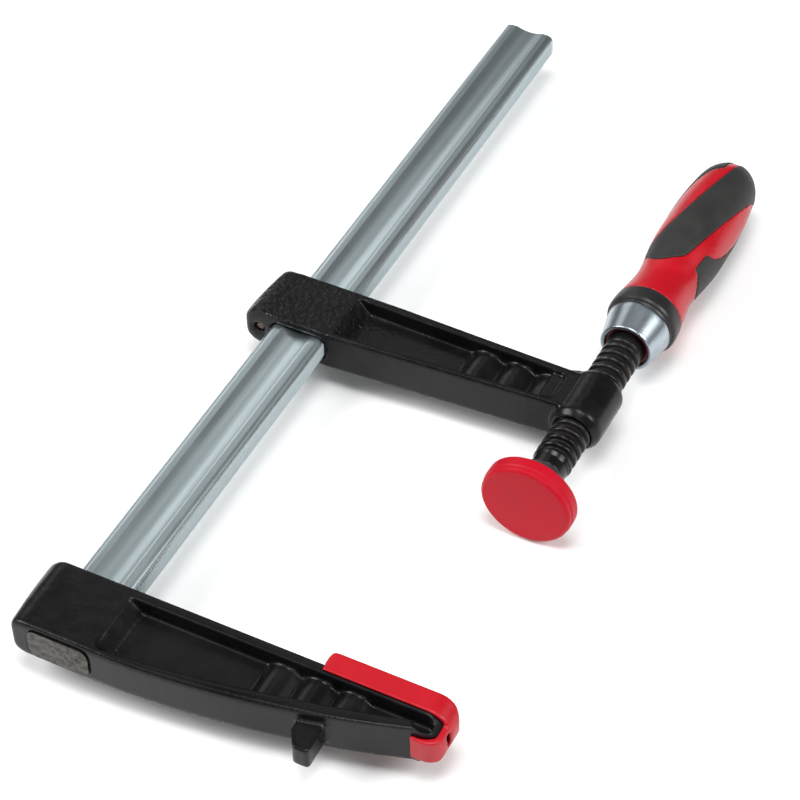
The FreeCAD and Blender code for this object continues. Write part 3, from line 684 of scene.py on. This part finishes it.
on_edge = map_range(t, far_x, math_node(t, "SUBTRACT", gi["Half Width"], 0.0013),
                    math_node(t, "SUBTRACT", gi["Half Width"], 0.0001), "SMOOTHSTEP")
odd = math_node(t, "MODULO", row, 2.0)
clear = math_node(t, "LESS_THAN", y, math_node(t, "SUBTRACT", gi["Last"], 0.002))
tooth = math_node(t, "MULTIPLY", math_node(t, "MULTIPLY", odd, clear),
                  math_node(t, "MULTIPLY", on_edge, gi["Tooth Depth"]))
x = math_node(t, "SUBTRACT", x, math_node(t, "MULTIPLY", side_x, tooth))
head = map_range(t, y, math_node(t, "ADD", gi["First"], gi["Head Depth"]), gi["First"])
on_face = math_node(t, "LESS_THAN", far_x, math_node(t, "SUBTRACT", gi["Half Width"], gi["Corner"]))
near_head = math_node(t, "GREATER_THAN", math_node(t, "ADD", gi["First"], 0.004), y)
filled = math_node(t, "MULTIPLY", on_face, near_head)
flat_z = math_node(t, "MULTIPLY", side_z, gi["Half Thickness"])
z = math_node(t, "ADD", math_node(t, "MULTIPLY", filled, flat_z),
              math_node(t, "MULTIPLY", math_node(t, "SUBTRACT", 1.0, filled), z))
worn_end = map_range(t, y, math_node(t, "SUBTRACT", gi["Last"], gi["Chamfer"]), gi["Last"])
swell = math_node(t, "SUBTRACT", math_node(t, "MULTIPLY", head, gi["Head Grow"]),
                  math_node(t, "MULTIPLY", worn_end, gi["Chamfer"]))
x = math_node(t, "MULTIPLY", x, math_node(t, "ADD", 1.0, math_node(t, "DIVIDE", swell, gi["Half Width"])))
z = math_node(t, "MULTIPLY", z, math_node(t, "ADD", 1.0, math_node(t, "DIVIDE", swell, gi["Half Thickness"])))
inside = math_node(t, "MULTIPLY", math_node(t, "GREATER_THAN", row, 0.5),
                   math_node(t, "LESS_THAN", row, last_row))
x = math_node(t, "ADD", math_node(t, "MULTIPLY", x, inside), gi["Middle"])
z = math_node(t, "MULTIPLY", z, inside)
# how deep each point sits in a tooth valley, stored for the painted shade there
valley = math_node(t, "DIVIDE", tooth, gi["Tooth Depth"])
kept = gn(t, "GeometryNodeStoreNamedAttribute", {"Geometry": grid, "Name": "tooth_valley", "Value": valley},
          data_type="FLOAT", domain="POINT")["Geometry"]
moved = gn(t, "GeometryNodeSetPosition", {"Geometry": kept, "Position": join3(t, x, y, z)})["Geometry"]
closed = gn(t, "GeometryNodeMergeByDistance", {"Geometry": moved, "Distance": 0.000001})["Geometry"]
real = gn(t, "GeometryNodeRealizeInstances", {0: closed})[0]
done = gn(t, "GeometryNodeSetMaterial", {"Geometry": real, "Material": gi["Finish"]})["Geometry"]
t.links.new(done, go["Rail"])
print("tree", t.name, "nodes", len(t.nodes))

# %% Build the rail
rail_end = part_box("rail")[1].y
middle, half_w, half_t, corner = -0.111, 0.011, 0.00525, 0.003
hollow_half, hollow_deep = 0.0061, 0.00125
hollow_r = (hollow_half ** 2 + hollow_deep ** 2) / (2 * hollow_deep)
profile = []
for sx, sz in ((1, 1), (1, -1), (-1, -1), (-1, 1)):
    turns = [math.pi / 2 * k / 8 for k in range(9)]
    if sx * sz > 0:
        turns.reverse()
    profile += [(middle + sx * (half_w - corner + corner * math.cos(a)), 0.0,
                 sz * (half_t - corner + corner * math.sin(a))) for a in turns]
    if (sx, sz) in ((1, -1), (-1, 1)):
        for k in range(25):
            gx = hollow_half * (1 - 2 * k / 24)
            gz = half_t - hollow_deep + hollow_r - math.sqrt(hollow_r * hollow_r - gx * gx)
            profile.append((middle + sx * gx, 0.0, sz * gz))
tooth_pitch, head_y = 0.0010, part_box("fixed_arm")[0].y + 0.0015
rows = 2 * round((rail_end - head_y) / tooth_pitch) + 3
mesh = run_tree("rail_bar", rail_tree, outline_mesh("rail_profile", profile, True),
    {"Around": 121, "Rows": rows, "First": head_y, "Last": rail_end, "Middle": middle,
     "Half Width": half_w, "Half Thickness": half_t, "Corner": corner, "Tooth Depth": 0.00030,
     "Chamfer": 0.0008, "Head Depth": 0.002, "Head Grow": 0.0011, "Finish": zinc_rail})
stake_x, stake_y, stake_r = middle / mm + half_w / mm - 3.4, head_y / mm, 1.9
outline = [(0, stake_y - 0.65), (1.1, stake_y - 0.45), (stake_r, stake_y + 0.1),
           (stake_r, stake_y + 0.5), (0, stake_y + 0.5)]
dome = turned("stake", outline, [0, 0.5, 0.3, 0, 0], around=32, x=stake_x * mm)
bm = bmesh.new()
bm.from_mesh(mesh)
bm.from_mesh(dome)
bmesh.ops.recalc_face_normals(bm, faces=bm.faces)
bm.to_mesh(mesh)
bm.free()
dress(mesh, "rail_bar", "rail", zinc_rail, sharp=28)
print("teeth along each edge", (rows - 3) // 2)

# %% [markdown]
# ## Spindle
# The spindle is one rolled steel screw: a ball and neck for the pad, a right-hand trapezoidal thread
# with a four millimetre lead, and a plain shank that goes into the handle. A thread is a rule: how
# deep the surface sits depends only on height and angle. A grid is wrapped round the axis, takes its
# radius from the outline, and the rule cuts the groove. The tree also stores how deep in the groove
# each point is, so that the finish can paint shade there.

# %% The spindle's tree
spindle_tree, gi, go = open_group("spindle_rule", "GeometryNodeTree",
    [("Outline", "NodeSocketGeometry", None), ("Around", "NodeSocketInt", 73),
     ("Steps", "NodeSocketInt", 400), ("Lead", number, 0.004), ("Depth", number, 0.0013),
     ("Thread Low", number, 0.117), ("Thread High", number, 0.18),
     ("Finish", "NodeSocketMaterial", None)],
    [("Spindle", "NodeSocketGeometry")])
spindle_tree.is_modifier = True
t = spindle_tree
curve = gn(t, "GeometryNodeMeshToCurve", {"Mesh": gi["Outline"]})["Curve"]
grid = gn(t, "GeometryNodeMeshGrid", {"Size X": 1.0, "Size Y": 1.0, "Vertices X": gi["Around"],
                                      "Vertices Y": gi["Steps"]})["Mesh"]
spot = split(t, gn(t, "GeometryNodeInputPosition")[0])
sample = gn(t, "GeometryNodeSampleCurve", {"Curves": curve, "Factor": math_node(t, "ADD", spot[1], 0.5)},
            mode="FACTOR", use_all_curves=True)
ring = split(t, sample["Position"])
share = math_node(t, "ADD", spot[0], 0.5)
phase = math_node(t, "FRACT", math_node(t, "SUBTRACT", math_node(t, "DIVIDE", ring[1], gi["Lead"]), share))
from_root = math_node(t, "MULTIPLY", math_node(t, "ABSOLUTE", math_node(t, "SUBTRACT", phase, 0.5)), 2.0)
groove = math_node(t, "SUBTRACT", 1.0, map_range(t, from_root, 0.24, 0.68, "SMOOTHSTEP"))
fade = 0.0012
start = map_range(t, ring[1], gi["Thread Low"], math_node(t, "ADD", gi["Thread Low"], fade),
                  "SMOOTHSTEP")
stop = map_range(t, ring[1], gi["Thread High"], math_node(t, "SUBTRACT", gi["Thread High"], fade),
                 "SMOOTHSTEP")
cut = math_node(t, "MULTIPLY", groove, math_node(t, "MULTIPLY", start, stop))
radius = math_node(t, "SUBTRACT", ring[0], math_node(t, "MULTIPLY", cut, gi["Depth"]))
turn = math_node(t, "MULTIPLY", share, 2 * math.pi)
place = join3(t, math_node(t, "MULTIPLY", radius, math_node(t, "SINE", turn)), ring[1],
              math_node(t, "MULTIPLY", radius, math_node(t, "COSINE", turn)))
kept = gn(t, "GeometryNodeStoreNamedAttribute", {"Geometry": grid, "Name": "thread_root", "Value": cut},
          data_type="FLOAT", domain="POINT")["Geometry"]
moved = gn(t, "GeometryNodeSetPosition", {"Geometry": kept, "Position": place})["Geometry"]
closed = gn(t, "GeometryNodeMergeByDistance", {"Geometry": moved, "Distance": 0.000001})["Geometry"]
real = gn(t, "GeometryNodeRealizeInstances", {0: closed})[0]
done = gn(t, "GeometryNodeSetMaterial", {"Geometry": real, "Material": gi["Finish"]})["Geometry"]
t.links.new(done, go["Spindle"])
print("tree", t.name, "nodes", len(t.nodes))

# %% Build the spindle
tang_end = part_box("spindle")[1].y / mm
ball_r, ball_y, neck_r, screw_r, shank_r, tang_r = 5.6, 103.4, 3.7, 7.4, 7.2, 4.6
screw_low, screw_high, mouth = 115.2, 178.4, 181.4
ball_turns = [math.pi * 0.77 * k / 20 for k in range(21)]
shape = [(ball_r * math.sin(a), ball_y - ball_r * math.cos(a)) for a in ball_turns]
shape += [(neck_r, ball_y + 4.6), (neck_r, screw_low - 5.6), (6.0, screw_low - 5.4), (6.6, screw_low - 4.8),
          (6.7, screw_low - 0.8), (screw_r, screw_low + 0.8),
          (screw_r, screw_high - 0.8), (shank_r, screw_high), (shank_r, mouth + 6.0),
          (tang_r, mouth + 6.0), (tang_r, tang_end), (0.0, tang_end)]
points = [(r * mm, v * mm, 0.0) for r, v in shape]
mesh = run_tree("spindle_screw", spindle_tree, outline_mesh("spindle_outline", points, False),
    {"Around": 73, "Steps": 620, "Lead": 0.004, "Depth": 0.00150, "Thread Low": screw_low * mm,
     "Thread High": screw_high * mm, "Finish": black_oxide_steel})
bm = bmesh.new()
bm.from_mesh(mesh)
bmesh.ops.recalc_face_normals(bm, faces=bm.faces)
bm.to_mesh(mesh)
bm.free()
dress(mesh, "spindle_screw", "spindle", black_oxide_steel, sharp=60)

# %% [markdown]
# ## Pieces whose own solid is right
# The pressure plate and the snap ring are already the right shape in the frame, and they are mostly
# hidden. They keep their solids and get their finishes.

# %% Finish the carried-over pieces
for node, material in (("pressure_plate", dark_plate), ("ball_retainer", spring_wire)):
    mesh = nodes[node].data
    mesh.materials.clear()
    mesh.materials.append(material)
    print(node, "takes", material.name)

# %% [markdown]
# ## Floor and light
# The clamp lies on a pale board, under large soft lights as in a small studio. The lights stand to
# the sides and behind the camera, because a light in the mirror direction would turn the black paint
# grey.

# %% Floor
low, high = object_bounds()
bm = bmesh.new()
bmesh.ops.create_grid(bm, x_segments=2, y_segments=2, size=6.0)
mesh = bpy.data.meshes.new("floor")
bm.to_mesh(mesh)
bm.free()
for v in mesh.vertices:
    v.co.z = low.z - 0.0002
floor = new_piece("floor", mesh)
pale, tree, shader = finish("pale_board", Roughness=0.9)
shader.inputs["Specular IOR Level"].default_value = 0.1
tone = ramp(tree, noise(tree, stretched(tree, (1, 1, 1)), 30.0, 3.0), 0.3, 0.7)
board = blend_colour(tree, tone, (0.90, 0.90, 0.90, 1), (0.92, 0.92, 0.92, 1))
tree.links.new(board, shader.inputs["Base Color"])
mesh.materials.append(pale)
print("floor at", round(low.z, 4))

# %% Lights
def lamp(name, place, size, power):
    data = bpy.data.lights.new(name, "AREA")
    data.shape, data.size, data.energy = "SQUARE", size, power
    ob = bpy.data.objects.new(name, data)
    bpy.context.scene.collection.objects.link(ob)
    ob.location = place
    ob.rotation_mode = "QUATERNION"
    ob.rotation_quaternion = (centre - Vector(place)).to_track_quat("-Z", "Y")


centre = (low + high) / 2
lamp("left_soft", (-1.3, -0.5, 1.2), 0.9, 27)
lamp("right_soft", (1.3, 0.3, 1.1), 0.7, 18)
lamp("front_soft", (0.3, -1.5, 0.9), 0.7, 5)
lamp("top_soft", (0.1, -0.1, 1.9), 0.8, 20)
lamp("rail_glow_left", (-1.35, 1.25, 1.0), 0.8, 2.8)
lamp("rail_glow_middle", (-0.6, 1.35, 1.6), 0.6, 0.9)
world = bpy.data.worlds.new("room")
world.use_nodes = True
world.node_tree.nodes["Background"].inputs["Color"].default_value = (1, 1, 1, 1)
world.node_tree.nodes["Background"].inputs["Strength"].default_value = 0.16
bpy.context.scene.world = world
bpy.context.scene.view_settings.view_transform = "Standard"
